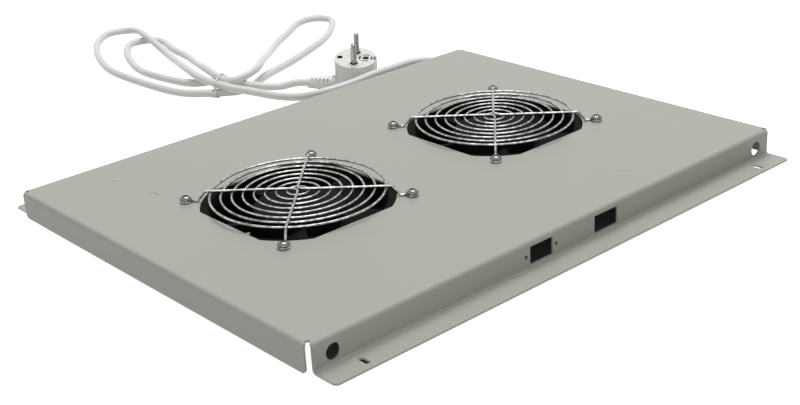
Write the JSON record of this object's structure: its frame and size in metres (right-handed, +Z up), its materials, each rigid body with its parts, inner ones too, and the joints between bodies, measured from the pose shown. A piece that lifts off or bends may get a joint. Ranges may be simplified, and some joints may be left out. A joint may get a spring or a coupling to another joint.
{
  "type": "rack fan tray",
  "caption": "Folded steel panel for a 19-inch cabinet with axial mains fans under round wire guards, fixing flanges and a mains lead tied in a bundle.",
  "frame": {"origin": "on the surface that the fans stand on, below the middle of the panel", "axes": "+X along the long sides, towards the side where the cord leaves; -Y towards the front side with the cut-outs; +Z up"},
  "size_m": [0.491, 0.7408, 0.0567],
  "materials": {
    "tray_paint": "smooth light grey powder paint",
    "fan_frame_black": "satin black paint on die-cast metal",
    "blade_plastic": "satin moulding",
    "black_plastic": "satin moulding",
    "bright_plating": "bright plating",
    "steel": "plain zinc-plated steel",
    "copper": "enamelled winding wire",
    "tinned_brass": "tinned",
    "block_plastic": "satin moulding",
    "white_plastic": "soft semi-gloss moulding",
    "tie_plastic": "natural nylon",
    "core_plastic": "satin insulation"
  },
  "bodies": {
    "tray": {"bearings_left": "steel", "bearings_right": "steel", "blade_terminals_left": "tinned_brass", "blade_terminals_right": "tinned_brass", "cable_bushing": "black_plastic", "clamping_screws": "steel", "cord_cores": "core_plastic", "cord_tie": "tie_plastic", "earth_washer": "steel", "fan_frame_left": "fan_frame_black", "fan_frame_right": "fan_frame_black", "fan_nuts_left": "steel", "fan_nuts_right": "steel", "guard_left": "bright_plating", "guard_right": "bright_plating", "guard_screws_left": "bright_plating", "guard_screws_right": "bright_plating", "lock_washers_left": "steel", "lock_washers_right": "steel", "mains_cord": "white_plastic", "plug_body": "white_plastic", "plug_earth_contacts": "tinned_brass", "plug_pins": "bright_plating", "plug_strain_relief": "white_plastic", "stator_core_left": "steel", "stator_core_right": "steel", "stator_windings_left": "copper", "stator_windings_right": "copper", "stud_nuts": "steel", "terminal_block": "block_plastic", "terminal_holder_left": "black_plastic", "terminal_holder_right": "black_plastic", "tray_panel": "tray_paint", "weld_studs": "steel"},
    "left_impeller": {"impeller_left": "blade_plastic", "rotor_ring_left": "steel", "shaft_left": "steel", "shaft_clip_left": "steel", "thrust_washer_left": "black_plastic"},
    "right_impeller": {"impeller_right": "blade_plastic", "rotor_ring_right": "steel", "shaft_right": "steel", "shaft_clip_right": "steel", "thrust_washer_right": "black_plastic"}
  },
  "joints": [
    {"name": "left_fan_spin", "type": "hinge", "parent": "tray", "child": "left_impeller", "pos_m": [-0.091, 0, 0.0205], "axis": [0, 0, 1], "continuous": true},
    {"name": "right_fan_spin", "type": "hinge", "parent": "tray", "child": "right_impeller", "pos_m": [0.091, 0, 0.0205], "axis": [0, 0, 1], "continuous": true}
  ]
}
